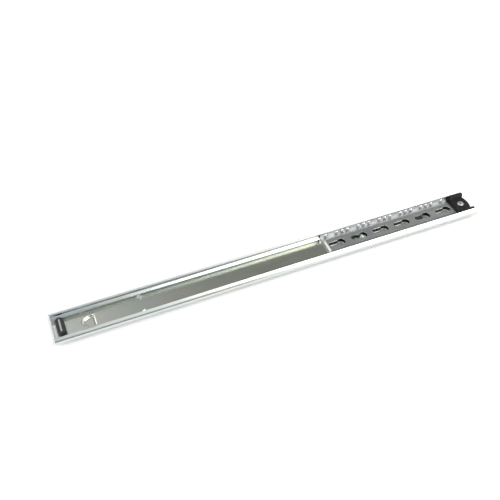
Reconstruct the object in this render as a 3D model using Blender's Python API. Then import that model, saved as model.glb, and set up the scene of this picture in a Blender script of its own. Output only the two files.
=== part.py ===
"""Ball-bearing drawer slide, cabinet member with its ball cage, open side up.

Frame: metres, +X along the rail from its rear end to its front end, +Y across it,
+Z out of the open side. The origin lies on the flat back of the rail at mid-length.
"""

import math

import bmesh
import bpy
from mathutils import Vector

# ---- driving dimensions, in metres ----
LENGTH = 0.450            # rail, end to end
SHEET = 0.0015            # steel sheet of the rail
BEND_R = 0.0040           # outside radius of the bend between back and race
WEB_HALF = 0.0122         # half the width of the flat back
BALL_R = 0.00225
BALL_Y = 0.0138           # distance of a ball row from the centre line
BALL_Z = 0.0050           # height of a ball row above the back face
BALL_PITCH = 0.00635
CAGE_CELLS = 6            # keyholes along the cage
CAGE_CELL = 4 * BALL_PITCH
LIP_ANGLE = math.radians(52)
LIP_LENGTH = 0.0023
GAP = 0.0003              # clearance between pieces that touch
OVERCUT = 0.0005          # how far a cutter reaches past the surface that it cuts
OVERLAP = 0.0002          # how far a joined feature reaches into the sheet
BRIM = 0.00001            # a hollow's cutter stands this far out of the sheet
UNDER = -0.0040           # low end of the cutters that go right through

# ---- worked-out dimensions ----
REAR = -LENGTH / 2
FRONT = LENGTH / 2
RACE_R = BEND_R - SHEET   # inside radius of the ball race
CAGE_FRONT = FRONT - 0.0184
CAGE_REAR = CAGE_FRONT - CAGE_CELLS * CAGE_CELL

# rear tab, bent up out of the back and sheathed in rubber
TAB_X = REAR + 0.0072     # rear face of the tab
TAB_HALF_WIDTH = 0.0072
TAB_TOP = 0.0079
TAB_BEND_R = 0.0022       # outside bend radius
TAB_HOLE_REAR = REAR + 0.0015
TAB_HOLE_HALF = 0.0080
BUMPER_HALF_THICK = 0.0040
BUMPER_HALF_WIDTH = 0.0098
BUMPER_TOP = 0.0084

# D-shaped hanging blister, pressed out of the back, open towards the front
BLISTER_X = REAR + 0.0380 # its straight open side
BLISTER_R = 0.0068
BLISTER_LONG = 0.0118
BLISTER_RISE = 0.0021
BLISTER_SLOPE = 0.0024    # width of its sloping rim
BLISTER_SLOT = 0.0008     # width of the slot cut along its straight side
DRAWN_WALL = 0.0006       # sheet left in the drawn rims of blister and boss

# stop lances for the cage, one at each edge of the back: a tongue that rises towards the front
LANCE_X = REAR + 0.0824   # root of the tongue and rear end of its hole
LANCE_LENGTH = 0.0066     # of the hole
LANCE_REACH = 0.0042      # of the tongue
LANCE_WIDTH = 0.0038
LANCE_Y = 0.0098
LANCE_ANGLE = math.radians(36)
LANCE_SIDE_GAP = 0.0003

# screw boss
BOSS_X = REAR + 0.3150
BOSS_BASE_R = 0.0088
BOSS_TOP_R = 0.0060
BOSS_RISE = 0.0015
SCREW_HOLE_R = 0.0022

# hanging hook, pressed out of the back beside the centre line
HOOK_X = REAR + 0.3835
HOOK_LENGTH = 0.0135
HOOK_ROOT_Y = -0.0034
HOOK_FLAT_Y = -0.0016
HOOK_TIP_Y = 0.0064
HOOK_HOLE_Y = 0.0090
HOOK_THROAT = 0.0009      # thickness of the panel that it hooks over
HOOK_SIDE_GAP = 0.0005
FLAP_ROOT = 0.0012        # how far a bent flap runs back into the sheet
FLAP_FILLET = 0.0006      # sheet kept in the inner corner of a bend

# locating dents near the front
DENT_R = 0.0014
DENT_DEPTH = 0.0004
DENTS = ((REAR + 0.4125, 0.0072), (REAR + 0.4210, -0.0091))

# front stop of moulded plastic, with two snap legs and a rivet
STOP_REAR = FRONT - 0.0160
STOP_LEG_X = FRONT - 0.0118
STOP_LEG_LENGTH = 0.0062
STOP_LEG_Y = 0.0067
STOP_LEG_WIDTH = 0.0038
STOP_TOP = 0.0058
STOP_EAR_TOP = 0.0086
STOP_EAR_INNER = 0.0104
STOP_EAR_SLOPE = 0.0008
STOP_NOSE_R = 0.0200
RIVET_X = FRONT - 0.0090
RIVET_R = 0.0015
RIVET_HEAD_R = 0.0033
RIVET_HEAD_HIGH = 0.0010
RIVET_TAIL_R = 0.0024
RIVET_TAIL_HIGH = 0.0007

# ball cage of thin strip
CAGE_SHEET = 0.0007
CAGE_PLATE_TOP = 0.0044   # raised middle, with the keyholes
CAGE_PLATE_HALF = 0.0078
CAGE_LEDGE_TOP = 0.0027   # low ledges beside it, next to the flanges
CAGE_LEDGE_Y = 0.0084
CAGE_END_LEDGE = 0.0006   # the middle slopes down to the ledges at both ends
CAGE_END_SLOPE = 0.0024
CAGE_FLANGE_Y = 0.0139    # outside face of a flange
CAGE_FLANGE_TOP = 0.0077
CAGE_BEND_R = 0.0010
CAGE_HOLE_R = 0.0024
KEY_ROUND_R = 0.0043
KEY_SLOT_R = 0.0029
KEY_ROUND_X = 0.0177      # from the rear end of its cell
KEY_SLOT_X = 0.0067

ARC_STEPS = 6
CIRCLE_STEPS = 28


def clear_scene():
    for obj in list(bpy.data.objects):
        bpy.data.objects.remove(obj, do_unlink=True)


def material(name, colour, roughness, metallic):
    made = bpy.data.materials.new(name)
    made.use_nodes = True
    shader = made.node_tree.nodes["Principled BSDF"]
    shader.inputs["Base Color"].default_value = (*colour, 1.0)
    shader.inputs["Roughness"].default_value = roughness
    shader.inputs["Metallic"].default_value = metallic
    return made


def arc(centre, radius, start, end, steps=ARC_STEPS):
    """Points of an arc in a plane, both ends included; angles in radians."""
    points = []
    for i in range(steps + 1):
        angle = start + (end - start) * i / steps
        points.append((centre[0] + radius * math.cos(angle), centre[1] + radius * math.sin(angle)))
    return points


def circle(centre, radius, steps=CIRCLE_STEPS):
    return arc(centre, radius, 0, 2 * math.pi * (1 - 1 / steps), steps - 1)


def box_outline(low, high):
    return [(low[0], low[1]), (high[0], low[1]), (high[0], high[1]), (low[0], high[1])]


def mirrored(half):
    """A closed outline in YZ from its +Y half."""
    return half + [(-y, z) for y, z in reversed(half)]


def mesh_object(name, bm, mat=None, origin=(0, 0, 0)):
    bmesh.ops.recalc_face_normals(bm, faces=bm.faces)
    bmesh.ops.translate(bm, vec=-Vector(origin), verts=bm.verts)
    mesh = bpy.data.meshes.new(name)
    bm.to_mesh(mesh)
    bm.free()
    obj = bpy.data.objects.new(name, mesh)
    obj.location = origin
    bpy.context.scene.collection.objects.link(obj)
    if mat:
        mesh.materials.append(mat)
    return obj


PLANES = {
    "XY": lambda a, b, depth: (a, b, depth),
    "YZ": lambda a, b, depth: (depth, a, b),
    "XZ": lambda a, b, depth: (a, depth, b),
}


def add_prism(bm, plane, outline, low, high, taper=None):
    """Adds a prism on an outline between two depths; taper gives the outline at the high end."""
    place = PLANES[plane]
    far_outline = taper or outline
    near = [bm.verts.new(place(a, b, low)) for a, b in outline]
    far = [bm.verts.new(place(a, b, high)) for a, b in far_outline]
    bm.faces.new(near)
    bm.faces.new(far)
    for i in range(len(near)):
        j = (i + 1) % len(near)
        bm.faces.new((near[i], near[j], far[j], far[i]))


def prism(name, plane, outline, low, high, mat=None):
    bm = bmesh.new()
    add_prism(bm, plane, outline, low, high)
    return mesh_object(name, bm, mat)


def tool(name, prisms):
    """A hidden object holding several separate prisms, for a Boolean."""
    bm = bmesh.new()
    for item in prisms:
        add_prism(bm, *item)
    obj = mesh_object(name, bm)
    obj.hide_render = True
    obj.display_type = 'WIRE'
    return obj


def boolean(target, operation, other):
    modifier = target.modifiers.new(f"{operation.lower()}_{other.name}", 'BOOLEAN')
    modifier.operation = operation
    modifier.solver = 'EXACT'
    modifier.object = other


def shade(obj, angle=35):
    obj.data.shade_smooth()
    obj.data.set_sharp_from_angle(angle=math.radians(angle))


def flank_angle():
    """Direction in which the straight flank between bend and race faces."""
    return math.atan2(WEB_HALF - BALL_Y, BALL_Z - BEND_R)


def channel_line(inset):
    """The +Y half of the rail's section at a depth inside its outer face, from the centre line
    to the tip of the lip."""
    flank = flank_angle()
    radius = BEND_R - inset
    points = [(0.0, inset)]
    points += arc((WEB_HALF, BEND_R), radius, -math.pi / 2, flank)
    points += arc((BALL_Y, BALL_Z), radius, flank, LIP_ANGLE, 2 * ARC_STEPS)
    tip_y, tip_z = points[-1]
    points.append((tip_y - LIP_LENGTH * math.sin(LIP_ANGLE), tip_z + LIP_LENGTH * math.cos(LIP_ANGLE)))
    return points


# ---- the rail ----
def blister_outline(inset):
    """Half-oval of the blister: straight side at BLISTER_X, round side towards the rear."""
    points = []
    for y, x in arc((0, 0), 1.0, 0, math.pi, 14):
        points.append((BLISTER_X - x * (BLISTER_LONG - inset), y * (BLISTER_R - inset)))
    return points


def tab_outline():
    """Section in XZ of the tab, from its root in front of the bend to its top edge."""
    outer = arc((TAB_X + TAB_BEND_R, TAB_BEND_R), TAB_BEND_R, -math.pi / 2, -math.pi)
    inner = arc((TAB_X + TAB_BEND_R, TAB_BEND_R), TAB_BEND_R - SHEET, -math.pi, -math.pi / 2)
    root = TAB_X + TAB_BEND_R + FLAP_FILLET
    return [(root, 0.0)] + outer + [(TAB_X, TAB_TOP), (TAB_X + SHEET, TAB_TOP)] + inner + [(root, SHEET)]


def tongue_outline():
    """Section in XZ of a stop lance, from its root behind the hole to its raised front end."""
    along = (math.cos(LANCE_ANGLE), math.sin(LANCE_ANGLE))
    low_end = (LANCE_X + LANCE_REACH * along[0], LANCE_REACH * along[1])
    high_end = (low_end[0] - SHEET * along[1], low_end[1] + SHEET * along[0])
    inner_bend = (LANCE_X - SHEET * math.tan(LANCE_ANGLE / 2), SHEET)
    root = LANCE_X - FLAP_ROOT
    return [(root, 0.0), (LANCE_X, 0.0), low_end, high_end, inner_bend, (root, SHEET)]


def hook_outline():
    """Section of the hanging hook in YZ: it leaves the back at its root and runs parallel to it."""
    low = -HOOK_THROAT - SHEET
    return [
        (HOOK_ROOT_Y - FLAP_ROOT, SHEET), (HOOK_ROOT_Y - FLAP_ROOT, 0.0), (HOOK_ROOT_Y, 0.0),
        (HOOK_FLAT_Y, low), (HOOK_TIP_Y, low), (HOOK_TIP_Y, low + SHEET),
        (HOOK_FLAT_Y + FLAP_FILLET, low + SHEET), (HOOK_ROOT_Y + FLAP_FILLET, SHEET),
    ]


def make_rail(mat):
    half = channel_line(0.0)[1:] + channel_line(SHEET)[:0:-1]
    rail = prism("cabinet_rail", "YZ", mirrored(half), REAR, FRONT, mat)

    boolean(rail, 'UNION', tool("raised_features", [
        ("XY", circle((BOSS_X, 0), BOSS_BASE_R), OVERLAP, -BOSS_RISE, circle((BOSS_X, 0), BOSS_TOP_R)),
        ("XY", blister_outline(0.0), OVERLAP, -BLISTER_RISE, blister_outline(BLISTER_SLOPE)),
    ]))

    over = SHEET + OVERCUT
    brim = SHEET + BRIM
    boss_hollow = circle((BOSS_X, 0), BOSS_BASE_R - DRAWN_WALL)
    boss_floor = circle((BOSS_X, 0), BOSS_TOP_R - DRAWN_WALL)
    blister_floor = blister_outline(BLISTER_SLOPE + DRAWN_WALL)
    tab_hole = box_outline((TAB_HOLE_REAR, -TAB_HOLE_HALF), (TAB_X + TAB_BEND_R, TAB_HOLE_HALF))
    slot_half = BLISTER_R - DRAWN_WALL
    blister_slot = box_outline((BLISTER_X - OVERLAP, -slot_half), (BLISTER_X + BLISTER_SLOT, slot_half))
    hook_hole = box_outline((HOOK_X, HOOK_ROOT_Y), (HOOK_X + HOOK_LENGTH, HOOK_HOLE_Y))
    cuts = [
        ("XY", boss_hollow, brim, SHEET - BOSS_RISE, boss_floor),
        ("XY", circle((BOSS_X, 0), SCREW_HOLE_R), over, UNDER),
        ("XY", blister_outline(DRAWN_WALL), brim, SHEET - BLISTER_RISE, blister_floor),
        ("XY", tab_hole, over, UNDER),
        ("XY", hook_hole, over, -OVERLAP),
        ("XY", circle((RIVET_X, 0), RIVET_R + GAP, 20), over, UNDER),
    ]
    for side in (-1, 1):
        leg_y = side * STOP_LEG_Y
        low = (STOP_LEG_X, leg_y - STOP_LEG_WIDTH / 2)
        high = (STOP_LEG_X + STOP_LEG_LENGTH, leg_y + STOP_LEG_WIDTH / 2)
        cuts.append(("XY", box_outline(low, high), over, UNDER))
        lance_y = side * LANCE_Y
        reach = LANCE_WIDTH / 2 + LANCE_SIDE_GAP
        low = (LANCE_X, lance_y - reach)
        high = (LANCE_X + LANCE_LENGTH, lance_y + reach)
        cuts.append(("XY", box_outline(low, high), over, UNDER))
    for x, y in DENTS:
        cuts.append(("XY", circle((x, y), DENT_R, 12), DENT_DEPTH, UNDER, circle((x, y), 2 * DENT_R, 12)))
    boolean(rail, 'DIFFERENCE', tool("rail_cuts", cuts))
    boolean(rail, 'DIFFERENCE', tool("blister_slot_cut", [("XY", blister_slot, over, -OVERLAP)]))

    hook_rear = HOOK_X + HOOK_SIDE_GAP
    hook_front = HOOK_X + HOOK_LENGTH - HOOK_SIDE_GAP
    flaps = [
        ("XZ", tab_outline(), -TAB_HALF_WIDTH, TAB_HALF_WIDTH),
        ("YZ", hook_outline(), hook_rear, hook_front),
    ]
    for side in (-1, 1):
        lance_y = side * LANCE_Y
        flaps.append(("XZ", tongue_outline(), lance_y - LANCE_WIDTH / 2, lance_y + LANCE_WIDTH / 2))
    boolean(rail, 'UNION', tool("rail_flaps", flaps))
    shade(rail)
    return rail


# ---- the ball cage ----
def cage_line(inset, rise):
    """The +Y half of the cage's section at a depth inside its outer face, from the edge of the
    middle plate to the top of the flange; rise is the plate's height above the ledge."""
    bottom = CAGE_LEDGE_TOP - CAGE_SHEET
    slope = math.atan2(rise, CAGE_LEDGE_Y - CAGE_PLATE_HALF)
    shift = (CAGE_SHEET - inset) * math.tan(slope / 2)
    points = [(CAGE_PLATE_HALF - shift, bottom + inset + rise), (CAGE_LEDGE_Y - shift, bottom + inset)]
    centre = (CAGE_FLANGE_Y - CAGE_BEND_R, bottom + CAGE_BEND_R)
    points += arc(centre, CAGE_BEND_R - inset, -math.pi / 2, 0, 4)
    points.append((CAGE_FLANGE_Y - inset, CAGE_FLANGE_TOP))
    return points


def cage_blank():
    """The folded strip before its holes: sections joined along X, with the middle plate sloping
    down to the ledges at both ends."""
    rise = CAGE_PLATE_TOP - CAGE_LEDGE_TOP
    slope_start = CAGE_END_LEDGE
    slope_end = CAGE_END_LEDGE + CAGE_END_SLOPE
    sections = [
        (CAGE_REAR, 0.0), (CAGE_REAR + slope_start, 0.0), (CAGE_REAR + slope_end, rise),
        (CAGE_FRONT - slope_end, rise), (CAGE_FRONT - slope_start, 0.0), (CAGE_FRONT, 0.0),
    ]
    bm = bmesh.new()
    rings = []
    for x, height in sections:
        outline = mirrored(cage_line(0.0, height) + cage_line(CAGE_SHEET, height)[::-1])
        rings.append([bm.verts.new((x, y, z)) for y, z in outline])
    bm.faces.new(rings[0])
    bm.faces.new(rings[-1])
    for near, far in zip(rings, rings[1:]):
        for i in range(len(near)):
            j = (i + 1) % len(near)
            bm.faces.new((near[i], near[j], far[j], far[i]))
    return bm


def keyhole_outline(cell_rear):
    """Round end towards the front, slot towards the rear."""
    round_centre = (cell_rear + KEY_ROUND_X, 0)
    slot_centre = (cell_rear + KEY_SLOT_X, 0)
    join = math.pi - math.asin(KEY_SLOT_R / KEY_ROUND_R)
    points = arc(round_centre, KEY_ROUND_R, -join, join, 20)
    points += arc(slot_centre, KEY_SLOT_R, math.pi / 2, 1.5 * math.pi, 8)
    return points


def ball_stations():
    """Places of one row's balls: three around each joint between cells, none at a cell's middle."""
    stations = []
    for step in range(1, 4 * CAGE_CELLS):
        if step % 4 != 2:
            stations.append(CAGE_REAR + step * BALL_PITCH)
    return stations


def make_cage(mat):
    cage = mesh_object("ball_cage", cage_blank(), mat)
    holes = []
    for cell in range(CAGE_CELLS):
        outline = keyhole_outline(CAGE_REAR + cell * CAGE_CELL)
        holes.append(("XY", outline, CAGE_PLATE_TOP - CAGE_SHEET - OVERCUT, CAGE_PLATE_TOP + OVERCUT))
    for x in ball_stations():
        for side in (-1, 1):
            inner = side * (CAGE_FLANGE_Y - CAGE_SHEET - OVERCUT)
            outer = side * (CAGE_FLANGE_Y + OVERCUT)
            holes.append(("XZ", circle((x, BALL_Z), CAGE_HOLE_R, 16), inner, outer))
    boolean(cage, 'DIFFERENCE', tool("cage_holes", holes))
    shade(cage)
    return cage


def make_balls(mat):
    bm = bmesh.new()
    bmesh.ops.create_uvsphere(bm, u_segments=12, v_segments=7, radius=BALL_R)
    mesh = bpy.data.meshes.new("ball")
    bm.to_mesh(mesh)
    bm.free()
    mesh.materials.append(mat)
    mesh.shade_smooth()
    for side, row in ((1, "left"), (-1, "right")):
        for number, x in enumerate(ball_stations(), 1):
            ball = bpy.data.objects.new(f"ball_{row}_{number:02d}", mesh)
            ball.location = (x, side * BALL_Y, BALL_Z)
            bpy.context.scene.collection.objects.link(ball)


# ---- pieces of the two ends ----
def stadium(half_length, radius, steps=10):
    """A slot outline around the tab, long across the rail."""
    x = TAB_X + SHEET / 2
    y = half_length - radius
    return arc((x, y), radius, 0, math.pi, steps) + arc((x, -y), radius, math.pi, 2 * math.pi, steps)


def make_bumper(mat):
    floor = SHEET + GAP
    bumper = prism("rear_bumper", "XY", stadium(BUMPER_HALF_WIDTH, BUMPER_HALF_THICK), floor, BUMPER_TOP, mat)
    rear = TAB_X - GAP
    slot_front = TAB_X + SHEET + GAP
    relief_front = TAB_X + TAB_BEND_R + 3 * GAP
    relief_top = TAB_BEND_R + GAP
    above = BUMPER_TOP + OVERCUT
    slot = [(rear, 0.0), (relief_front, 0.0), (relief_front, relief_top),
            (slot_front, relief_top), (slot_front, above), (rear, above)]
    reach = TAB_HALF_WIDTH + GAP
    boolean(bumper, 'DIFFERENCE', tool("bumper_slot", [("XZ", slot, -reach, reach)]))
    shade(bumper)
    return bumper


def stop_section():
    """Section of the front stop in YZ: it fills the channel and stands up into both races."""
    flank = flank_angle()
    radius = RACE_R - GAP
    half = arc((WEB_HALF, BEND_R), radius, -math.pi / 2, flank, 4)
    half += arc((BALL_Y, BALL_Z), radius, flank, LIP_ANGLE, 6)
    tip_y, tip_z = half[-1]
    run = (STOP_EAR_TOP - tip_z) / math.cos(LIP_ANGLE)
    half.append((tip_y - run * math.sin(LIP_ANGLE), STOP_EAR_TOP))
    half.append((STOP_EAR_INNER, STOP_EAR_TOP))
    half.append((STOP_EAR_INNER - STOP_EAR_SLOPE, STOP_TOP))
    return mirrored(half)


def make_stop(mat):
    stop = prism("front_stop", "YZ", stop_section(), STOP_REAR, FRONT, mat)
    leg_half = STOP_LEG_WIDTH / 2 - GAP
    legs = []
    for side in (-1, 1):
        y = side * STOP_LEG_Y
        low = (STOP_LEG_X + GAP, y - leg_half)
        high = (STOP_LEG_X + STOP_LEG_LENGTH - GAP, y + leg_half)
        legs.append(("XY", box_outline(low, high), GAP, SHEET + GAP + OVERCUT))
    boolean(stop, 'UNION', tool("stop_legs", legs))
    nose_half = STOP_EAR_INNER - STOP_EAR_SLOPE
    half_angle = math.asin(nose_half / STOP_NOSE_R)
    nose = arc((FRONT - STOP_NOSE_R, 0), STOP_NOSE_R, -half_angle, half_angle, 12)
    beyond = FRONT + 0.002
    trim = nose + [(beyond, nose_half), (beyond, -nose_half)]
    boolean(stop, 'DIFFERENCE', tool("stop_cuts", [
        ("XY", trim, SHEET, STOP_EAR_TOP + OVERCUT),
        ("XY", circle((RIVET_X, 0), RIVET_R + GAP, 20), 0.0, STOP_TOP + OVERCUT),
    ]))
    shade(stop)
    return stop


def make_rivet(mat):
    """A turned profile about the rivet's own axis: tail, shank and domed head."""
    head_base = STOP_TOP + GAP
    profile = [(0.0, -GAP - RIVET_TAIL_HIGH), (RIVET_TAIL_R * 0.7, -GAP - RIVET_TAIL_HIGH),
               (RIVET_TAIL_R, -GAP), (RIVET_R, -GAP), (RIVET_R, head_base), (RIVET_HEAD_R, head_base)]
    for i in range(1, 5):
        angle = i * math.pi / 8
        profile.append((RIVET_HEAD_R * math.cos(angle), head_base + RIVET_HEAD_HIGH * math.sin(angle)))
    bm = bmesh.new()
    verts = [bm.verts.new((r, 0, z)) for r, z in profile]
    edges = [bm.edges.new((a, b)) for a, b in zip(verts, verts[1:])]
    bmesh.ops.spin(bm, geom=verts + edges, cent=(0, 0, 0), axis=(0, 0, 1), angle=2 * math.pi, steps=20)
    bmesh.ops.remove_doubles(bm, verts=bm.verts, dist=1e-6)
    bmesh.ops.translate(bm, vec=(RIVET_X, 0, 0), verts=bm.verts)
    rivet = mesh_object("front_stop_rivet", bm, mat, (RIVET_X, 0, 0))
    shade(rivet)
    return rivet


def main():
    clear_scene()
    zinc = material("zinc_steel", (0.56, 0.57, 0.55), 0.32, 1.0)
    strip = material("cage_steel", (0.50, 0.52, 0.52), 0.38, 1.0)
    polished = material("bearing_steel", (0.72, 0.72, 0.72), 0.12, 1.0)
    rubber = material("black_rubber", (0.018, 0.018, 0.018), 0.75, 0.0)
    plastic = material("black_plastic", (0.015, 0.015, 0.017), 0.42, 0.0)
    make_rail(zinc)
    make_cage(strip)
    make_balls(polished)
    make_bumper(rubber)
    make_stop(plastic)
    make_rivet(polished)


main()
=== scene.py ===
"""Looks of the ball-bearing drawer slide: pressed steel rail, ball cage, balls, rubber bumper
and moulded front stop, on a pale floor under soft studio light."""

import math

import bmesh
import bpy
from mathutils import Matrix, Vector


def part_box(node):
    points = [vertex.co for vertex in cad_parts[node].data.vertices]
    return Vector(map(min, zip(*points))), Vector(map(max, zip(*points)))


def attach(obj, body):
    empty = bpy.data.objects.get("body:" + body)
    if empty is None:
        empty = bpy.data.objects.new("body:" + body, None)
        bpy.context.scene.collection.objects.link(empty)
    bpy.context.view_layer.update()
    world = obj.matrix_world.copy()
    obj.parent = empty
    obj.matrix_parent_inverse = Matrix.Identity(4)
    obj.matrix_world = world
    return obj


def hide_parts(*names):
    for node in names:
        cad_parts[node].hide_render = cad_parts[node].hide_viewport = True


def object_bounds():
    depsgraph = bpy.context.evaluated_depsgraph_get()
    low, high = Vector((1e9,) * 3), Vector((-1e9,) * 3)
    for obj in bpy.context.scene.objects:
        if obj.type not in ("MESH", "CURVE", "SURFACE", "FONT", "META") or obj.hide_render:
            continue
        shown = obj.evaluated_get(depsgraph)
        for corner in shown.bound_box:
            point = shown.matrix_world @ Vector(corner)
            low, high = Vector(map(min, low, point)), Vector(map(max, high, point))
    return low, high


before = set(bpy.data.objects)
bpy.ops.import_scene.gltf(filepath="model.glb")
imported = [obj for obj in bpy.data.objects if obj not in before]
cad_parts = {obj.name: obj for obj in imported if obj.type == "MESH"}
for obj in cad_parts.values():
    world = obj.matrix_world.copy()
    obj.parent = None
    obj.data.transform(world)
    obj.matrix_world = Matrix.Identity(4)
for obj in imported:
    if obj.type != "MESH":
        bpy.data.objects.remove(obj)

cad_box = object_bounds()

MM = 0.001

TINY = 1e-7     # tolerance when places on a grid are compared
MERGE = 1e-6    # points nearer than this become one


def node_box(node):
    """Lowest and highest corner of a node of the frame."""
    low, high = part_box(node)
    return Vector(low), Vector(high)


# ---- places and sizes, taken from the frame ----
RAIL_LOW, RAIL_HIGH = node_box("cabinet_rail")
CAGE_LOW, CAGE_HIGH = node_box("ball_cage")
STOP_LOW, STOP_HIGH = node_box("front_stop")
BUMPER_LOW, BUMPER_HIGH = node_box("rear_bumper")
RIVET_LOW, RIVET_HIGH = node_box("front_stop_rivet")
REAR, FRONT = RAIL_LOW.x, RAIL_HIGH.x
BALLS = sorted(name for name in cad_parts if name.startswith("ball_") and name != "ball_cage")
BALL_LOW, BALL_HIGH = node_box(BALLS[0])
BALL_R = (BALL_HIGH.z - BALL_LOW.z) / 2
BALL_Y = abs((BALL_HIGH.y + BALL_LOW.y) / 2)
BALL_Z = (BALL_HIGH.z + BALL_LOW.z) / 2

# ---- the rail's sheet and section ----
SHEET = 1.5 * MM
BEND_R = 4.0 * MM
WEB_HALF = 12.2 * MM
LIP_ANGLE = math.radians(52)
LIP_LENGTH = 2.3 * MM
FLANK_ANGLE = math.atan2(WEB_HALF - BALL_Y, BALL_Z - BEND_R)

# ---- features pressed in the back; their places along the rail count from its ends ----
SIDE_GAP = 0.3 * MM     # beside the lances and the blister's slot
TAB_X = REAR + 7.2 * MM
TAB_HALF = 7.2 * MM
TAB_TOP = 7.9 * MM
TAB_BEND_R = 2.2 * MM
TAB_ROOT = TAB_X + TAB_BEND_R
TAB_HOLE_REAR = REAR + 1.5 * MM
TAB_HOLE_HALF = 8.0 * MM
TAB_TIP = TAB_HOLE_REAR + 0.2 * MM
BLISTER_X = REAR + 38.0 * MM
BLISTER_HALF = 6.8 * MM
BLISTER_LONG = 11.8 * MM
BLISTER_RISE = 2.05 * MM
BLISTER_SLOPE = 1.9 * MM
BLISTER_SLOT = 0.5 * MM
BLISTER_ROLL = 1.8 * MM
BLISTER_ROLL_DROP = 0.95 * MM
LANCE_X = REAR + 82.4 * MM
LANCE_LENGTH = 6.6 * MM
LANCE_HALF = 1.9 * MM
LANCE_Y = 9.8 * MM
LANCE_RISE = 2.3 * MM
LANCE_TIP = LANCE_X + 3.4 * MM
BOSS_X = REAR + 315.0 * MM
BOSS_BASE_R = 8.8 * MM
BOSS_TOP_R = 6.2 * MM
BOSS_RISE = 1.45 * MM
SCREW_HOLE_R = 2.2 * MM
HOOK_X = REAR + 383.5 * MM
HOOK_LENGTH = 13.5 * MM
HOOK_ROOT_Y = -3.4 * MM
HOOK_TIP_Y = 6.4 * MM
HOOK_HOLE_Y = 9.0 * MM
HOOK_DROP = 2.35 * MM
HOOK_SLOPE = 2.6 * MM
HOOK_GAP = 0.5 * MM
DENT_R = 2.8 * MM
DENT_DEPTH = 0.35 * MM
DENTS = ((REAR + 412.5 * MM, 7.2 * MM), (REAR + 421.0 * MM, -9.1 * MM))
LEG_X = FRONT - 11.8 * MM
LEG_LENGTH = 6.2 * MM
LEG_Y = 6.7 * MM
LEG_HALF = 1.9 * MM
RIVET_X = (RIVET_LOW.x + RIVET_HIGH.x) / 2
RIVET_HOLE_R = 1.8 * MM
DRILL_REACH = 5.0 * MM

# ---- spacing of the grids that the sheets are bent from ----
RAIL_GRID = 7.0 * MM
FORM_GRID = 0.40 * MM
TAB_GRID = 0.35 * MM
LANCE_GRID = 0.30 * MM
ROLL_GRID = 0.22 * MM
DENT_GRID = 0.45 * MM
WEB_GRID = 0.6 * MM
CAGE_END_GRID = 0.2 * MM
SHOULDER_GRID = 0.10 * MM


# ---------------------------------------------------------------- helpers
FLAT_FACE_WEIGHT = 80


def smooth(t):
    """Eases from 0 to 1, level at both ends."""
    t = min(1.0, max(0.0, t))
    return t * t * (3 - 2 * t)


def arc(centre, radius, start, end, steps):
    """Points along an arc, both ends included."""
    points = []
    for i in range(steps + 1):
        angle = start + (end - start) * i / steps
        points.append((centre[0] + radius * math.cos(angle), centre[1] + radius * math.sin(angle)))
    return points


def finished_mesh(name, bm, materials=()):
    """Turns a bmesh into a mesh with these materials, and frees it."""
    mesh = bpy.data.meshes.new(name)
    bm.to_mesh(mesh)
    bm.free()
    for mat in materials:
        mesh.materials.append(mat)
    return mesh


def add(name, data):
    """Puts a new object with this mesh, light or camera in the scene."""
    obj = bpy.data.objects.new(name, data)
    bpy.context.scene.collection.objects.link(obj)
    return obj


def declare(obj, body, node):
    """Makes a piece ride on a body and stand for a CAD node."""
    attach(obj, body)
    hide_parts(node)


def piece(name, bm, body, materials, node):
    """Turns a bmesh into a piece that stands for a CAD node."""
    bmesh.ops.recalc_face_normals(bm, faces=bm.faces)
    obj = add(name, finished_mesh(name, bm, materials))
    declare(obj, body, node)
    return obj


def cutter(name, bm, materials=()):
    """A tool for a Boolean; the faces it leaves take the last of the materials."""
    bmesh.ops.recalc_face_normals(bm, faces=bm.faces)
    for face in bm.faces:
        face.material_index = max(0, len(materials) - 1)
    return add(name, finished_mesh(name, bm, materials))


def apply_modifiers(obj, *tools):
    """Bakes an object's modifiers into its mesh and deletes the tools that they used."""
    graph = bpy.context.evaluated_depsgraph_get()
    baked = bpy.data.meshes.new_from_object(obj.evaluated_get(graph))
    old = obj.data
    obj.modifiers.clear()
    obj.data = baked
    bpy.data.meshes.remove(old)
    for other in tools:
        bpy.data.objects.remove(other, do_unlink=True)


def boolean(obj, operation, other):
    """Adds a Boolean that unites an object with a tool, or cuts the tool out of it."""
    modifier = obj.modifiers.new("boolean", 'BOOLEAN')
    modifier.operation = operation
    modifier.solver = 'EXACT'
    modifier.object = other


def soften(obj, width, segments, angle):
    """Rounds the edges sharper than an angle a little, so that they catch light as real ones do."""
    modifier = obj.modifiers.new("soften", 'BEVEL')
    modifier.width = width
    modifier.segments = segments
    modifier.limit_method = 'ANGLE'
    modifier.angle_limit = math.radians(angle)
    apply_modifiers(obj)


def shade(obj, angle):
    """Smooth shading in which the large flat faces keep their own direction."""
    obj.data.shade_smooth()
    obj.data.set_sharp_from_angle(angle=math.radians(angle))
    modifier = obj.modifiers.new("even", 'WEIGHTED_NORMAL')
    modifier.mode = 'FACE_AREA'
    modifier.weight = FLAT_FACE_WEIGHT
    modifier.keep_sharp = True
    apply_modifiers(obj)


def prism(bm, outline, low, high, axis="Z"):
    """A closed prism on an outline, from low to high along an axis."""
    place = {
        "X": lambda a, b, d: (d, a, b),
        "Y": lambda a, b, d: (a, d, b),
        "Z": lambda a, b, d: (a, b, d),
    }[axis]
    near = [bm.verts.new(place(a, b, low)) for a, b in outline]
    end = [bm.verts.new(place(a, b, high)) for a, b in outline]
    bm.faces.new(near)
    bm.faces.new(end)
    for i in range(len(near)):
        j = (i + 1) % len(near)
        bm.faces.new((near[i], near[j], end[j], end[i]))


def circle(centre, radius, steps=48):
    """Points round a circle, none of them twice."""
    return arc(centre, radius, 0, 2 * math.pi * (1 - 1 / steps), steps - 1)


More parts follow.
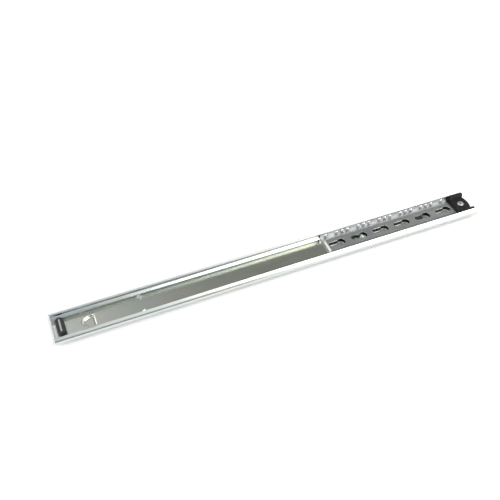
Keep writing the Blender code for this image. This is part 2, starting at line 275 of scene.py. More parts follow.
# ---------------------------------------------------------------- materials
class Shader:
    """Short way to wire a procedural material."""

    def __init__(self, name):
        self.material = bpy.data.materials.new(name)
        self.material.use_nodes = True
        self.tree = self.material.node_tree
        self.surface = self.tree.nodes["Principled BSDF"]

    def node(self, kind, **values):
        """Adds a node and sets its inputs, or else its properties, by name."""
        made = self.tree.nodes.new(kind)
        for key, value in values.items():
            if key in made.inputs:
                made.inputs[key].default_value = value
            else:
                setattr(made, key, value)
        return made

    def link(self, source, target):
        self.tree.links.new(source, target)

    def place(self, scale):
        coordinates = self.node("ShaderNodeTexCoord")
        mapping = self.node("ShaderNodeMapping")
        mapping.inputs["Scale"].default_value = scale
        self.link(coordinates.outputs["Object"], mapping.inputs["Vector"])
        return mapping.outputs["Vector"]

    def noise(self, scale, detail=3.0, rough=0.5, stretch=(1, 1, 1)):
        """Noise in the object's own coordinates; a small stretch value draws it out that way."""
        made = self.node("ShaderNodeTexNoise", Scale=scale, Detail=detail, Roughness=rough)
        self.link(self.place(stretch), made.inputs["Vector"])
        return made.outputs["Fac"]

    def remap(self, value, low, high, new_low, new_high):
        """Maps low..high on to new_low..new_high."""
        made = self.node("ShaderNodeMapRange")
        made.inputs["From Min"].default_value = low
        made.inputs["From Max"].default_value = high
        made.inputs["To Min"].default_value = new_low
        made.inputs["To Max"].default_value = new_high
        self.link(value, made.inputs["Value"])
        return made.outputs["Result"]

    def mix(self, factor, first, second):
        """Blends two colours, each a plain tuple or a socket."""
        made = self.node("ShaderNodeMix", data_type='RGBA')
        self.link(factor, made.inputs[0])
        for socket, value in ((made.inputs[6], first), (made.inputs[7], second)):
            if isinstance(value, tuple):
                socket.default_value = (*value, 1)
            else:
                self.link(value, socket)
        return made.outputs[2]

    def math(self, operation, first, second):
        made = self.node("ShaderNodeMath", operation=operation)
        for socket, value in zip(made.inputs, (first, second)):
            if isinstance(value, (int, float)):
                socket.default_value = value
            else:
                self.link(value, socket)
        return made.outputs[0]

    def bump(self, height, distance, strength=1.0, normal=None):
        made = self.node("ShaderNodeBump", Strength=strength, Distance=distance)
        self.link(height, made.inputs["Height"])
        if normal:
            self.link(normal, made.inputs["Normal"])
        return made.outputs["Normal"]

    def set(self, **values):
        """Sets the shader's inputs from sockets, colours or numbers, with _ for a space."""
        for key, value in values.items():
            socket = self.surface.inputs[key.replace("_", " ")]
            if hasattr(value, "is_linked"):
                self.link(value, socket)
            elif isinstance(value, tuple):
                socket.default_value = (*value, 1)
            else:
                socket.default_value = value


def plated_steel(name, warm, cool, dark, rough):
    """Zinc-plated rolled sheet: faint passivation tint in broad clouds, fine rolling lines along
    the strip, blotches where it is duller, and dark specks."""
    s = Shader(name)
    clouds = s.noise(38.0, detail=3.0, rough=0.55, stretch=(0.45, 1.0, 1.0))
    tint = s.mix(s.remap(clouds, 0.36, 0.64, 0.0, 1.0), warm, cool)
    lines = s.noise(900.0, detail=2.0, rough=0.6, stretch=(0.02, 1.0, 1.0))
    specks = s.noise(1500.0, detail=2.0, rough=0.7)
    dull = s.remap(specks, 0.60, 0.74, 0.0, 1.0)
    colour = s.mix(s.math('MULTIPLY', dull, 0.35), tint, dark)
    blotches = s.noise(120.0, detail=4.0, rough=0.6, stretch=(0.6, 1.0, 1.0))
    spread = s.math('ADD', s.math('MULTIPLY', lines, 0.45), s.math('MULTIPLY', blotches, 0.55))
    roughness = s.remap(spread, 0.32, 0.68, *rough)
    rolled = s.bump(lines, 0.010 * MM, 0.2)
    grained = s.bump(specks, 0.012 * MM, 0.25, rolled)
    s.set(Base_Color=colour, Metallic=1.0, Roughness=roughness, Normal=grained)
    return s.material


def sheared_edge():
    """Cut edge of the sheet: bright where it was sheared, torn and duller below."""
    s = Shader("sheared_edge")
    tear = s.noise(2200.0, detail=3.0, rough=0.7, stretch=(1.0, 1.0, 0.25))
    colour = s.mix(s.remap(tear, 0.4, 0.62, 0.0, 1.0), (0.74, 0.74, 0.72), (0.50, 0.50, 0.49))
    s.set(Base_Color=colour, Metallic=1.0, Roughness=s.remap(tear, 0.35, 0.65, 0.30, 0.55),
          Normal=s.bump(tear, 0.03 * MM, 0.8))
    return s.material


def polished_ball():
    """Ground bearing steel, thinly oiled."""
    s = Shader("polished_ball")
    film = s.noise(700.0, detail=3.0, rough=0.6)
    colour = s.mix(s.remap(film, 0.35, 0.65, 0.0, 1.0), (0.74, 0.74, 0.73), (0.62, 0.63, 0.65))
    s.set(Base_Color=colour, Metallic=1.0, Roughness=s.remap(film, 0.35, 0.7, 0.05, 0.16))
    return s.material


def rivet_steel():
    """Upset rivet head: zinc, a little dulled by the press tool."""
    s = Shader("rivet_steel")
    grain = s.noise(1300.0, detail=3.0, rough=0.6)
    colour = s.mix(s.remap(grain, 0.35, 0.65, 0.0, 1.0), (0.66, 0.66, 0.65), (0.52, 0.53, 0.53))
    s.set(Base_Color=colour, Metallic=1.0, Roughness=s.remap(grain, 0.35, 0.65, 0.28, 0.46),
          Normal=s.bump(grain, 0.03 * MM, 0.6))
    return s.material


def black_rubber():
    """Moulded rubber with a fine pebbled skin and a little grey bloom."""
    s = Shader("black_rubber")
    pebbles = s.noise(2600.0, detail=2.0, rough=0.6)
    bloom = s.noise(420.0, detail=4.0, rough=0.65)
    colour = s.mix(s.remap(bloom, 0.45, 0.75, 0.0, 1.0), (0.012, 0.012, 0.013), (0.045, 0.044, 0.043))
    s.set(Base_Color=colour, Roughness=s.remap(bloom, 0.3, 0.7, 0.58, 0.82),
          Normal=s.bump(pebbles, 0.06 * MM, 0.7))
    return s.material


def black_plastic():
    """Acetal moulding: spark-eroded grain, slight scuffs."""
    s = Shader("black_plastic")
    grain = s.noise(3200.0, detail=2.0, rough=0.55)
    scuffs = s.noise(300.0, detail=4.0, rough=0.7, stretch=(0.4, 1.0, 1.0))
    colour = s.mix(s.remap(scuffs, 0.45, 0.72, 0.0, 1.0), (0.005, 0.005, 0.006), (0.020, 0.020, 0.022))
    s.set(Base_Color=colour, Roughness=s.remap(scuffs, 0.3, 0.7, 0.40, 0.62),
          Normal=s.bump(grain, 0.035 * MM, 0.7), Specular_IOR_Level=0.35)
    return s.material


# ---------------------------------------------------------------- the rail
def race_curve(radius, bend_steps, race_steps):
    """Round the bend at the +Y side of the back and on round the ball race, as (y, z) points."""
    bend = arc((WEB_HALF, BEND_R), radius, -math.pi / 2, FLANK_ANGLE, bend_steps)
    return bend + arc((BALL_Y, BALL_Z), radius, FLANK_ANGLE, LIP_ANGLE, race_steps)


def side_section():
    """The rail's section from the edge of the flat back to the lip's end on the +Y side: pairs of
    outer and inner (y, z) points."""

    def side(inset):
        points = race_curve(BEND_R - inset, 9, 16)
        tip_y, tip_z = points[-1]
        for part in (0.34, 0.67, 1.0):
            run = LIP_LENGTH * part
            points.append((tip_y - run * math.sin(LIP_ANGLE), tip_z + run * math.cos(LIP_ANGLE)))
        return points

    return list(zip(side(0.0), side(SHEET)))


def spaced(edges, fine, coarse):
    """Grid lines through all the edges, at coarse spacing, or at the finest spacing of the fine
    ranges (low, high, spacing) that a gap between two edges lies in."""
    lines = set()
    ordered = sorted(set(round(e, 7) for e in edges))
    for low, high in zip(ordered, ordered[1:]):
        middle = (low + high) / 2
        step = coarse
        for fine_low, fine_high, fine_step in fine:
            if fine_low <= middle <= fine_high:
                step = min(step, fine_step)
        count = max(1, round((high - low) / step))
        lines.update(low + (high - low) * i / count for i in range(count + 1))
    return sorted(lines)


def rail_holes():
    """Rectangles cut out of the flat back: (low x, high x, low y, high y)."""
    holes = [
        (TAB_HOLE_REAR, TAB_TIP, -TAB_HOLE_HALF, TAB_HOLE_HALF),
        (BLISTER_X, BLISTER_X + BLISTER_SLOT, -BLISTER_HALF + 2 * SIDE_GAP, BLISTER_HALF - 2 * SIDE_GAP),
        (HOOK_X, HOOK_X + HOOK_LENGTH, HOOK_TIP_Y, HOOK_HOLE_Y),
        (HOOK_X, HOOK_X + HOOK_GAP, HOOK_ROOT_Y, HOOK_TIP_Y),
        (HOOK_X + HOOK_LENGTH - HOOK_GAP, HOOK_X + HOOK_LENGTH, HOOK_ROOT_Y, HOOK_TIP_Y),
    ]
    for side in (-1, 1):
        low, high = sorted((side * TAB_HALF, side * TAB_HOLE_HALF))
        holes.append((TAB_TIP, TAB_ROOT, low, high))
        y = side * LEG_Y
        holes.append((LEG_X, LEG_X + LEG_LENGTH, y - LEG_HALF, y + LEG_HALF))
        y = side * LANCE_Y
        reach = LANCE_HALF + SIDE_GAP
        holes.append((LANCE_TIP, LANCE_X + LANCE_LENGTH, y - reach, y + reach))
        holes.append((LANCE_X, LANCE_TIP, y - reach, y - LANCE_HALF))
        holes.append((LANCE_X, LANCE_TIP, y + LANCE_HALF, y + reach))
    return holes


def pressed(x, y):
    """How far the flat back is pressed at a point: negative is out of the back."""
    if x <= BLISTER_X + TINY and x > BLISTER_X - BLISTER_LONG:
        across = math.hypot((x - BLISTER_X) / BLISTER_LONG, y / BLISTER_HALF)
        if across < 1.0:
            return -BLISTER_RISE * smooth((1.0 - across) * BLISTER_HALF / BLISTER_SLOPE)
    from_slot = x - BLISTER_X - BLISTER_SLOT
    if -TINY <= from_slot < BLISTER_ROLL and abs(y) < BLISTER_HALF - SIDE_GAP:
        return -BLISTER_ROLL_DROP * (1 - from_slot / BLISTER_ROLL) ** 2
    radius = math.hypot(x - BOSS_X, y)
    if radius < BOSS_BASE_R:
        return -BOSS_RISE * smooth((BOSS_BASE_R - radius) / (BOSS_BASE_R - BOSS_TOP_R))
    for dent_x, dent_y in DENTS:
        radius = math.hypot(x - dent_x, y - dent_y)
        if radius < DENT_R:
            return DENT_DEPTH * smooth(1 - radius / DENT_R)
    hook_end = HOOK_X + HOOK_LENGTH - HOOK_GAP
    if HOOK_X + HOOK_GAP - TINY <= x <= hook_end + TINY and HOOK_ROOT_Y < y <= HOOK_TIP_Y + TINY:
        return -HOOK_DROP * smooth((y - HOOK_ROOT_Y) / HOOK_SLOPE)
    if LANCE_X < x <= LANCE_TIP + TINY and abs(abs(y) - LANCE_Y) <= LANCE_HALF + TINY:
        return LANCE_RISE * (x - LANCE_X) / (LANCE_TIP - LANCE_X)
    return 0.0


def folded_tab(x):
    """Outer and inner (x, z) of the rear tab at a place on the flat blank."""
    neutral = TAB_BEND_R - SHEET / 2
    run = TAB_ROOT - x
    quarter = neutral * math.pi / 2
    inner_r = TAB_BEND_R - SHEET
    if run < quarter:
        angle = run / neutral
        outer = (TAB_ROOT - TAB_BEND_R * math.sin(angle), TAB_BEND_R * (1 - math.cos(angle)))
        inner = (TAB_ROOT - inner_r * math.sin(angle), TAB_BEND_R - inner_r * math.cos(angle))
        return outer, inner
    share = (run - quarter) / (TAB_ROOT - TAB_TIP - quarter)
    z = TAB_BEND_R + (TAB_TOP - TAB_BEND_R) * share
    return (TAB_X, z), (TAB_X + SHEET, z)


def bent_sheet(xs, ys, side, flat, holes=()):
    """A sheet with thickness, bent from one grid. Over ys, flat gives its outer and inner points.
    Beyond them, side carries on both edges, as pairs of outer and inner (y, z). Cells inside the
    holes (low x, high x, low y, high y) are left out. Faces of the cut edges get material 1."""
    columns = [(-1, pair) for pair in reversed(side[1:])]
    columns += [(y, None) for y in ys]
    columns += [(1, pair) for pair in side[1:]]
    layers = ({}, {})
    for i, x in enumerate(xs):
        for j, (value, pair) in enumerate(columns):
            points = [(x, value * y, z) for y, z in pair] if pair else flat(x, value)
            for layer, point in zip(layers, points):
                layer[i, j] = point

    def kept(i, j):
        if columns[j][1] or columns[j + 1][1]:
            return True
        x = (xs[i] + xs[i + 1]) / 2
        y = (columns[j][0] + columns[j + 1][0]) / 2
        return not any(a < x < b and c < y < d for a, b, c, d in holes)

    cells = [(i, j) for i in range(len(xs) - 1) for j in range(len(columns) - 1) if kept(i, j)]
    bm = bmesh.new()
    verts = {}

    def vert(layer, key):
        if (layer, key) not in verts:
            verts[layer, key] = bm.verts.new(layers[layer][key])
        return verts[layer, key]

    open_sides = {}
    for i, j in cells:
        corners = [(i, j), (i + 1, j), (i + 1, j + 1), (i, j + 1)]
        bm.faces.new([vert(0, key) for key in reversed(corners)])
        bm.faces.new([vert(1, key) for key in corners])
        for start, end in zip(corners, corners[1:] + corners[:1]):
            key = tuple(sorted((start, end)))
            if key in open_sides:
                open_sides.pop(key)
            else:
                open_sides[key] = (start, end)
    for start, end in open_sides.values():
        face = bm.faces.new((vert(1, end), vert(1, start), vert(0, start), vert(0, end)))
        face.material_index = 1
    return bm


def rail_point(x, y):
    """Outer and inner point of the flat back, or of the tab that is folded up from it."""
    if abs(y) <= TAB_HALF + TINY and TAB_TIP - TINY <= x < TAB_ROOT:
        return [(folded_x, y, z) for folded_x, z in folded_tab(x)]
    z = pressed(x, y)
    return (x, y, z), (x, y, z + SHEET)


def make_rail(steel, edge):
    """The C-section, bent from one flat grid, with its two round holes drilled last."""
    holes = rail_holes()
    roll = (BLISTER_X + BLISTER_SLOT, BLISTER_X + BLISTER_SLOT + BLISTER_ROLL)
    boss = (BOSS_X - BOSS_BASE_R, BOSS_X + BOSS_BASE_R)
    x_edges = [REAR, FRONT, BLISTER_X - BLISTER_LONG, roll[1], *boss, TAB_ROOT]
    y_edges = [-WEB_HALF, WEB_HALF, 0.0]
    for low_x, high_x, low_y, high_y in holes:
        x_edges += [low_x, high_x]
        y_edges += [low_y, high_y]
    fine = [
        (TAB_TIP, TAB_ROOT, TAB_GRID),
        (BLISTER_X - BLISTER_LONG, BLISTER_X, FORM_GRID),
        (*roll, ROLL_GRID),
        (LANCE_X, LANCE_TIP, LANCE_GRID),
        (*boss, FORM_GRID),
    ]
    for dent_x, dent_y in DENTS:
        x_edges += [dent_x - DENT_R, dent_x + DENT_R]
        fine.append((dent_x - DENT_R, dent_x + DENT_R, DENT_GRID))
    xs = spaced(x_edges, fine, RAIL_GRID)
    ys = spaced(y_edges, [(-HOOK_HOLE_Y, HOOK_HOLE_Y, DENT_GRID)], WEB_GRID)
    bm = bent_sheet(xs, ys, side_section(), rail_point, holes)
    rail = piece("rail_shell", bm, "rail", (steel, edge), "cabinet_rail")
    drills = bmesh.new()
    for x, radius in ((BOSS_X, SCREW_HOLE_R), (RIVET_X, RIVET_HOLE_R)):
        prism(drills, circle((x, 0), radius), -DRILL_REACH, DRILL_REACH)
    drill = cutter("rail_drill", drills, (steel, edge))
    boolean(rail, 'DIFFERENCE', drill)
    apply_modifiers(rail, drill)
    soften(rail, width=0.10 * MM, segments=2, angle=55)
    shade(rail, angle=40)


# ---------------------------------------------------------------- the cage
CAGE_SHEET = 0.7 * MM
CAGE_LEDGE = CAGE_LOW.z + CAGE_SHEET
CAGE_PLATE = 4.4 * MM
CAGE_PLATE_HALF = 7.8 * MM
CAGE_LEDGE_Y = 8.4 * MM
CAGE_END_LEDGE = 0.6 * MM
CAGE_END_SLOPE = 2.4 * MM
CAGE_BEND_R = 1.0 * MM
CAGE_HOLE_R = 2.4 * MM
KEY_ROUND_R = 4.3 * MM
KEY_SLOT_R = 2.9 * MM
CELLS = 6
CELL = (CAGE_HIGH.x - CAGE_LOW.x) / CELLS
KEY_ROUND_X = 17.7 * MM
KEY_SLOT_X = 6.7 * MM
CUT_MARGIN = 0.5 * MM


def keyhole(rear):
    """Round end towards the front, slot towards the rear."""
    join = math.pi - math.asin(KEY_SLOT_R / KEY_ROUND_R)
    points = arc((rear + KEY_ROUND_X, 0), KEY_ROUND_R, -join, join, 40)
    points += arc((rear + KEY_SLOT_X, 0), KEY_SLOT_R, math.pi / 2, 1.5 * math.pi, 16)
    return points


def plate_height(x, y):
    """Top of the cage's strip inside its flanges: a raised middle with sloping sides and ends."""
    from_end = min(x - CAGE_LOW.x, CAGE_HIGH.x - x) - CAGE_END_LEDGE
    along = smooth(from_end / CAGE_END_SLOPE)
    across = smooth((CAGE_LEDGE_Y - abs(y)) / (CAGE_LEDGE_Y - CAGE_PLATE_HALF))
    return CAGE_LEDGE + (CAGE_PLATE - CAGE_LEDGE) * min(along, across)


def cage_point(x, y):
    """Outer and inner point of the strip between its flanges."""
    z = plate_height(x, y)
    return (x, y, z - CAGE_SHEET), (x, y, z)


def cage_flange():
    """The bend and the upright flange on the +Y side: pairs of outer and inner (y, z) points."""
    centre = (CAGE_HIGH.y - CAGE_BEND_R, CAGE_LOW.z + CAGE_BEND_R)
    faces = []
    for inset in (0.0, CAGE_SHEET):
        line = arc(centre, CAGE_BEND_R - inset, -math.pi / 2, 0, 8)
        line.append((CAGE_HIGH.y - inset, CAGE_HIGH.z))
        faces.append(line)
    return list(zip(*faces))


def make_cage(steel, edge):
    """The thin strip with its upright flanges, keyholes and ball holes."""
    bend_y = CAGE_HIGH.y - CAGE_BEND_R
    y_edges = [-bend_y, -CAGE_LEDGE_Y, -CAGE_PLATE_HALF, CAGE_PLATE_HALF, CAGE_LEDGE_Y, bend_y]
    shoulders = [(CAGE_PLATE_HALF, CAGE_LEDGE_Y, SHOULDER_GRID)]
    shoulders.append((-CAGE_LEDGE_Y, -CAGE_PLATE_HALF, SHOULDER_GRID))
    ys = spaced(y_edges, shoulders, 2 * bend_y)
    slopes = []
    x_edges = [CAGE_LOW.x, CAGE_HIGH.x]
    for start in (CAGE_LOW.x + CAGE_END_LEDGE, CAGE_HIGH.x - CAGE_END_LEDGE - CAGE_END_SLOPE):
        x_edges += [start, start + CAGE_END_SLOPE]
        slopes.append((start, start + CAGE_END_SLOPE, CAGE_END_GRID))
    xs = spaced(x_edges, slopes, CAGE_HIGH.x - CAGE_LOW.x)
    bm = bent_sheet(xs, ys, cage_flange(), cage_point)
    cage = piece("cage_strip", bm, "cage", (steel, edge), "ball_cage")

    cuts = bmesh.new()
    cut_low, cut_high = CAGE_PLATE - CAGE_SHEET - CUT_MARGIN, CAGE_PLATE + CUT_MARGIN
    for cell in range(CELLS):
        prism(cuts, keyhole(CAGE_LOW.x + cell * CELL), cut_low, cut_high)
    for name in BALLS:
        low, high = node_box(name)
        hand = 1 if high.y > 0 else -1
        prism(cuts, circle(((low.x + high.x) / 2, BALL_Z), CAGE_HOLE_R, 32),
              hand * (CAGE_HIGH.y - CAGE_SHEET - CUT_MARGIN), hand * (CAGE_HIGH.y + CUT_MARGIN), "Y")
    tool = cutter("cage_cuts", cuts, (steel, edge))
    boolean(cage, 'DIFFERENCE', tool)
    apply_modifiers(cage, tool)
    soften(cage, width=0.07 * MM, segments=2, angle=55)
    shade(cage, angle=40)


def make_balls(mat):
    """Balls that share one mesh, each a piece of its own."""
    bm = bmesh.new()
    bmesh.ops.create_icosphere(bm, subdivisions=4, radius=BALL_R)
    mesh = finished_mesh("ball_mesh", bm, (mat,))
    mesh.shade_smooth()
    for name in BALLS:
        low, high = node_box(name)
        ball = add(name.replace("ball_", "bearing_"), mesh)
        ball.location = (low + high) / 2
        declare(ball, "cage", name)


# ---------------------------------------------------------------- the bumper
BUMPER_ROUND_R = 1.5 * MM
BUMPER_FOOT = 0.35 * MM
BUMPER_TAB_GAP = 0.25 * MM
BUMPER_TAB_SIDE_GAP = 0.35 * MM
BUMPER_MOUTH = ((0.35 * MM, 0.02 * MM), (0.10 * MM, 0.12 * MM), (0.0, 0.40 * MM))
BUMPER_FLARE_TOP = 1.2 * MM


def stadium(half_width, half_thick, centre_x, steps=14):
    """Slot-shaped ring, long across the rail, with rounded ends of this many steps."""
    reach = half_width - half_thick
    points = []
    for side in (1, -1):
        for i in range(steps + 1):
            angle = math.pi * i / steps + (0 if side == 1 else math.pi)
            x = centre_x + half_thick * math.cos(angle)
            points.append((x, side * reach + half_thick * math.sin(angle)))
    return points


def bridge_rings(bm, rings):
    """Joins rings of equal point count into a closed ring-shaped skin."""
    loops = [[bm.verts.new(point) for point in ring] for ring in rings]
    for one, two in zip(loops, loops[1:] + loops[:1]):
        for i in range(len(one)):
            j = (i + 1) % len(one)
            bm.faces.new((one[i], one[j], two[j], two[i]))


def make_bumper(mat):
    """Rubber sleeve pushed over the rear tab, with a rounded top edge and a slot for the tab."""
    centre = TAB_X + SHEET / 2
    half_width = (BUMPER_HIGH.y - BUMPER_LOW.y) / 2
    half_thick = (BUMPER_HIGH.x - BUMPER_LOW.x) / 2
    low, high = BUMPER_LOW.z, BUMPER_HIGH.z
    slot_thick = SHEET / 2 + BUMPER_TAB_GAP
    slot_width = TAB_HALF + BUMPER_TAB_SIDE_GAP
    rings = []

    def ring(inset, z):
        rings.append([(x, y, z) for x, y in stadium(half_width - inset, half_thick - inset, centre)])

    ring(BUMPER_FOOT, low)
    ring(0.0, low + BUMPER_FOOT)
    ring(0.0, (low + high) / 2)
    for i in range(7):
        angle = math.pi / 2 * i / 6
        inset = BUMPER_ROUND_R * (1 - math.cos(angle)) + TINY * i
        ring(inset, high - BUMPER_ROUND_R + BUMPER_ROUND_R * math.sin(angle))

    def slot(grow, z):
        rings.append([(x, y, z) for x, y in stadium(slot_width + grow, slot_thick + grow, centre)])

    for grow, depth in BUMPER_MOUTH:
        slot(grow, high - depth)
    slot(0.0, low + BUMPER_FLARE_TOP)
    slot(BUMPER_FOOT, low)
    bm = bmesh.new()
    bridge_rings(bm, rings)
    bumper = piece("bumper_sleeve", bm, "rail", (mat,), "rear_bumper")
    shade(bumper, angle=60)


# ---------------------------------------------------------------- the front stop and its rivet
STOP_TOP = 5.8 * MM
STOP_EAR_INNER = 10.4 * MM
STOP_EAR_SLOPE = 0.8 * MM
STOP_NOSE_HALF = STOP_EAR_INNER - STOP_EAR_SLOPE
STOP_NOSE_R = 20.0 * MM
STOP_LEG_TOP = SHEET + 1.3 * MM
STOP_GAP = 0.3 * MM
STOP_OVERRUN = 1.0 * MM


def stop_outline():
    """Section of the stop: it fills the channel and stands up into both races."""
    half = race_curve(BEND_R - SHEET - STOP_GAP, 8, 12)
    tip_y, tip_z = half[-1]
    run = (STOP_HIGH.z - tip_z) / math.cos(LIP_ANGLE)
    half.append((tip_y - run * math.sin(LIP_ANGLE), STOP_HIGH.z))
    half.append((STOP_EAR_INNER, STOP_HIGH.z))
    half.append((STOP_NOSE_HALF, STOP_TOP))
    return half + [(-y, z) for y, z in reversed(half)]


def make_stop(mat):
    """The moulded block with two legs through the back, a round nose and a hole for the rivet."""
    bm = bmesh.new()
    prism(bm, stop_outline(), STOP_LOW.x, STOP_HIGH.x, "X")
    stop = piece("stop_block", bm, "rail", (mat,), "front_stop")

    legs = bmesh.new()
    for side in (-1, 1):
        low_y = side * LEG_Y - LEG_HALF + STOP_GAP
        high_y = side * LEG_Y + LEG_HALF - STOP_GAP
        low_x = LEG_X + STOP_GAP
        high_x = LEG_X + LEG_LENGTH - STOP_GAP
        outline = [(low_x, low_y), (high_x, low_y), (high_x, high_y), (low_x, high_y)]
        prism(legs, outline, STOP_LOW.z, STOP_LEG_TOP)
    leg_tool = cutter("stop_legs", legs)
    boolean(stop, 'UNION', leg_tool)

    cuts = bmesh.new()
    half_angle = math.asin(STOP_NOSE_HALF / STOP_NOSE_R)
    nose = arc((FRONT - STOP_NOSE_R, 0), STOP_NOSE_R, -half_angle, half_angle, 28)
    beyond = FRONT + 2 * STOP_OVERRUN
    nose += [(beyond, STOP_NOSE_HALF), (beyond, -STOP_NOSE_HALF)]
    prism(cuts, nose, SHEET, STOP_HIGH.z + STOP_OVERRUN)
    prism(cuts, circle((RIVET_X, 0), RIVET_HOLE_R), -STOP_OVERRUN, STOP_TOP + STOP_OVERRUN)
    cut_tool = cutter("stop_cuts", cuts)
    boolean(stop, 'DIFFERENCE', cut_tool)
    apply_modifiers(stop, leg_tool, cut_tool)
    soften(stop, width=0.35 * MM, segments=3, angle=35)
    shade(stop, angle=45)


RIVET_SHANK_R = 1.5 * MM
RIVET_TAIL_R = 2.4 * MM
RIVET_TAIL_FLAT = 0.72
RIVET_TAIL_ROUND = 0.35 * MM
RIVET_TAIL_EDGE = 0.08 * MM
RIVET_HEAD_EDGE = 0.1 * MM
RIVET_DOME_STEPS = 10


def make_rivet(mat):
    """A turned profile: upset tail, shank and domed head."""
    head_r = (RIVET_HIGH.x - RIVET_LOW.x) / 2
    head_base = STOP_TOP + STOP_GAP
    tail_top = -STOP_GAP
    tail_low = RIVET_LOW.z
    profile = [(0.0, tail_low)]
    tail_centre = (RIVET_TAIL_R * RIVET_TAIL_FLAT, tail_low + RIVET_TAIL_ROUND)
    profile += arc(tail_centre, RIVET_TAIL_ROUND, -math.pi / 2, 0, 5)
    profile += [(RIVET_TAIL_R, tail_top - RIVET_TAIL_EDGE), (RIVET_TAIL_R - RIVET_TAIL_EDGE, tail_top)]
    profile += [(RIVET_SHANK_R, tail_top), (RIVET_SHANK_R, head_base)]
    dome_base = head_base + RIVET_HEAD_EDGE
    profile += [(head_r - RIVET_HEAD_EDGE, head_base), (head_r, dome_base)]
    for i in range(1, RIVET_DOME_STEPS + 1):
        angle = math.pi / 2 * i / RIVET_DOME_STEPS
        dome_z = dome_base + (RIVET_HIGH.z - dome_base) * math.sin(angle)
        profile.append((head_r * math.cos(angle), dome_z))
    bm = bmesh.new()
    verts = [bm.verts.new((r, 0, z)) for r, z in profile]
    edges = [bm.edges.new((a, b)) for a, b in zip(verts, verts[1:])]
    bmesh.ops.spin(bm, geom=verts + edges, cent=(0, 0, 0), axis=(0, 0, 1), angle=2 * math.pi, steps=48)
    bmesh.ops.remove_doubles(bm, verts=bm.verts, dist=MERGE)
    bmesh.ops.translate(bm, vec=(RIVET_X, 0, 0), verts=bm.verts)
    rivet = piece("stop_rivet", bm, "rail", (mat,), "front_stop_rivet")
    shade(rivet, angle=40)


# ---------------------------------------------------------------- studio
FLOOR_HALF = 3.0
LAMP_PLACE = (0.65, -0.75, 1.2)
LAMP_SIZE = (0.8, 1.2)
LAMP_POWER = 10

# The light tent's colours. A stretch runs from where a colour begins to where it is full, along one
# axis of the direction looked in. A patch is round: its middle, its stretch by the cosine of the
# angle from that middle, and its colour.
TENT_SIDES = (0.95, 0.95, 0.95)
TENT_FRONT = (1.45, 1.45, 1.45)
TENT_FAR_LEFT = (2.2, 2.2, 2.2)
TENT_LEFT = (0.32, 0.39, 0.46)
TENT_LOW_LEFT = (0.28, 0.34, 0.42)
TENT_LOW_RIGHT = (2.2, 2.2, 2.15)
FRONT_Y = (0.35, -0.25)
CORNER_Y = (0.20, -0.05)
FACING_Y = (-0.35, -0.65)
LOW_Z = (0.70, 0.42)
LEFT_X = (0.36, 0.24)
RIGHT_X = (0.24, 0.36)
FAR_RIGHT_X = (0.55, 0.80)
FAR_LEFT_X = (-0.35, -0.60)
PANEL = ((0.12, -0.63, 0.77), (0.962, 0.985), (0.98, 1.0, 1.0))
ZENITH = ((-0.05, 0.36, 0.93), (0.955, 0.99), (0.25, 0.29, 0.31))
OPENING = ((0.42, 0.56, 0.70), (0.845, 0.985), (0.24, 0.25, 0.23))

CAMERA_PLACE = (-0.1913, -0.4067, 0.5009)
CAMERA_AIM = (-0.0181, 0.0281, 0.0)
CAMERA_ROLL = math.radians(-0.45)
CAMERA_LENS = 48.1


def make_floor():
    """Pale paper that the object lies on."""
    size = FLOOR_HALF
    outline = [(-size, -size), (size, -size), (size, size), (-size, size)]
    bm = bmesh.new()
    bm.faces.new([bm.verts.new((x, y, cad_box[0][2])) for x, y in outline])
    s = Shader("paper_floor")
    grain = s.noise(60.0, detail=2.0)
    s.set(Base_Color=s.mix(grain, (0.93, 0.93, 0.93), (0.95, 0.95, 0.95)), Roughness=0.9)
    floor = add("floor", finished_mesh("floor", bm, (s.material,)))


def looking_at(place, aim):
    """Rotation that turns a lamp or a camera at a place towards a point."""
    return (Vector(aim) - Vector(place)).to_track_quat('-Z', 'Y')


def make_lamp():
    """A large soft lamp above the front right."""
    data = bpy.data.lights.new("overhead", 'AREA')
    data.shape = 'RECTANGLE'
    data.size, data.size_y = LAMP_SIZE
    data.energy = LAMP_POWER
    lamp = add("overhead", data)
    lamp.location = LAMP_PLACE
    lamp.rotation_euler = looking_at(LAMP_PLACE, (0, 0, 0)).to_euler()


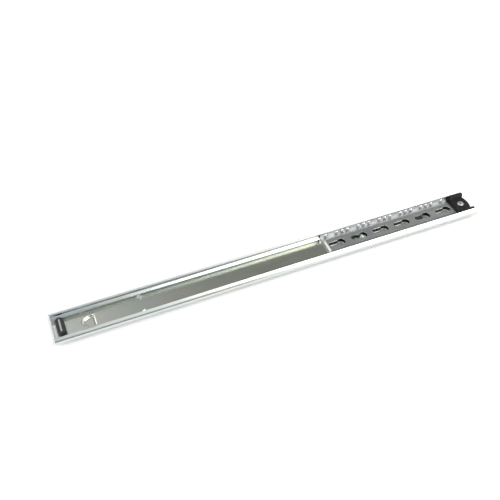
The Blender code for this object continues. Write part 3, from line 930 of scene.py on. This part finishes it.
def make_world():
    """Light tent: pale at the sides and behind, bright in front, brightest at the far left and low
    at the front right, blue-grey on the left of the front, with a pale panel over the front and two
    grey openings, one overhead and one high up behind the right."""
    world = bpy.data.worlds.new("tent")
    world.use_nodes = True
    tree = world.node_tree
    nodes, links = tree.nodes, tree.links
    direction = nodes.new("ShaderNodeTexCoord").outputs["Generated"]
    split = nodes.new("ShaderNodeSeparateXYZ")
    links.new(direction, split.inputs[0])
    x, y, z = (split.outputs[axis] for axis in "XYZ")

    def ramp(value, stretch):
        made = nodes.new("ShaderNodeMapRange")
        made.interpolation_type = 'SMOOTHSTEP'
        made.inputs["From Min"].default_value, made.inputs["From Max"].default_value = stretch
        links.new(value, made.inputs["Value"])
        return made.outputs["Result"]

    def times(first, second):
        made = nodes.new("ShaderNodeMath")
        made.operation = 'MULTIPLY'
        links.new(first, made.inputs[0])
        links.new(second, made.inputs[1])
        return made.outputs[0]

    def blend(factor, under, colour):
        made = nodes.new("ShaderNodeMix")
        made.data_type = 'RGBA'
        links.new(factor, made.inputs[0])
        if isinstance(under, tuple):
            made.inputs[6].default_value = (*under, 1)
        else:
            links.new(under, made.inputs[6])
        made.inputs[7].default_value = (*colour, 1)
        return made.outputs[2]

    def patch(under, middle, stretch, colour):
        made = nodes.new("ShaderNodeVectorMath")
        made.operation = 'DOT_PRODUCT'
        made.inputs[1].default_value = Vector(middle).normalized()
        links.new(direction, made.inputs[0])
        return blend(ramp(made.outputs["Value"], stretch), under, colour)

    low_front = times(ramp(z, LOW_Z), ramp(y, FACING_Y))
    left = ramp(x, LEFT_X)
    light = blend(ramp(y, FRONT_Y), TENT_SIDES, TENT_FRONT)
    light = blend(times(ramp(y, CORNER_Y), left), light, TENT_LEFT)
    light = blend(times(low_front, left), light, TENT_LOW_LEFT)
    light = patch(light, *PANEL)
    light = blend(ramp(x, FAR_RIGHT_X), light, TENT_SIDES)
    light = blend(ramp(x, FAR_LEFT_X), light, TENT_FAR_LEFT)
    light = patch(light, *ZENITH)
    light = blend(times(low_front, ramp(x, RIGHT_X)), light, TENT_LOW_RIGHT)
    light = patch(light, *OPENING)
    links.new(light, nodes["Background"].inputs["Color"])
    bpy.context.scene.world = world


def make_camera():
    """Looks down at the slide from the front left of its long side."""
    data = bpy.data.cameras.new("camera")
    data.lens = CAMERA_LENS
    data.sensor_width = 36.0
    data.clip_start = 0.01
    camera = add("camera", data)
    turn = looking_at(CAMERA_PLACE, CAMERA_AIM).to_matrix() @ Matrix.Rotation(CAMERA_ROLL, 3, 'Z')
    camera.matrix_world = Matrix.Translation(CAMERA_PLACE) @ turn.to_4x4()
    bpy.context.scene.camera = camera


# ---------------------------------------------------------------- everything
make_camera()
rail_steel = plated_steel("zinc_sheet", warm=(0.69, 0.69, 0.63), cool=(0.64, 0.67, 0.635),
                          dark=(0.50, 0.50, 0.48), rough=(0.16, 0.26))
strip_steel = plated_steel("cage_sheet", warm=(0.54, 0.545, 0.535), cool=(0.50, 0.51, 0.52),
                           dark=(0.36, 0.36, 0.36), rough=(0.34, 0.48))
cut_edge = sheared_edge()
make_rail(rail_steel, cut_edge)
make_cage(strip_steel, cut_edge)
make_balls(polished_ball())
make_bumper(black_rubber())
make_stop(black_plastic())
make_rivet(rivet_steel())
make_floor()
make_world()
make_lamp()
bpy.context.scene.view_settings.view_transform = 'Standard'
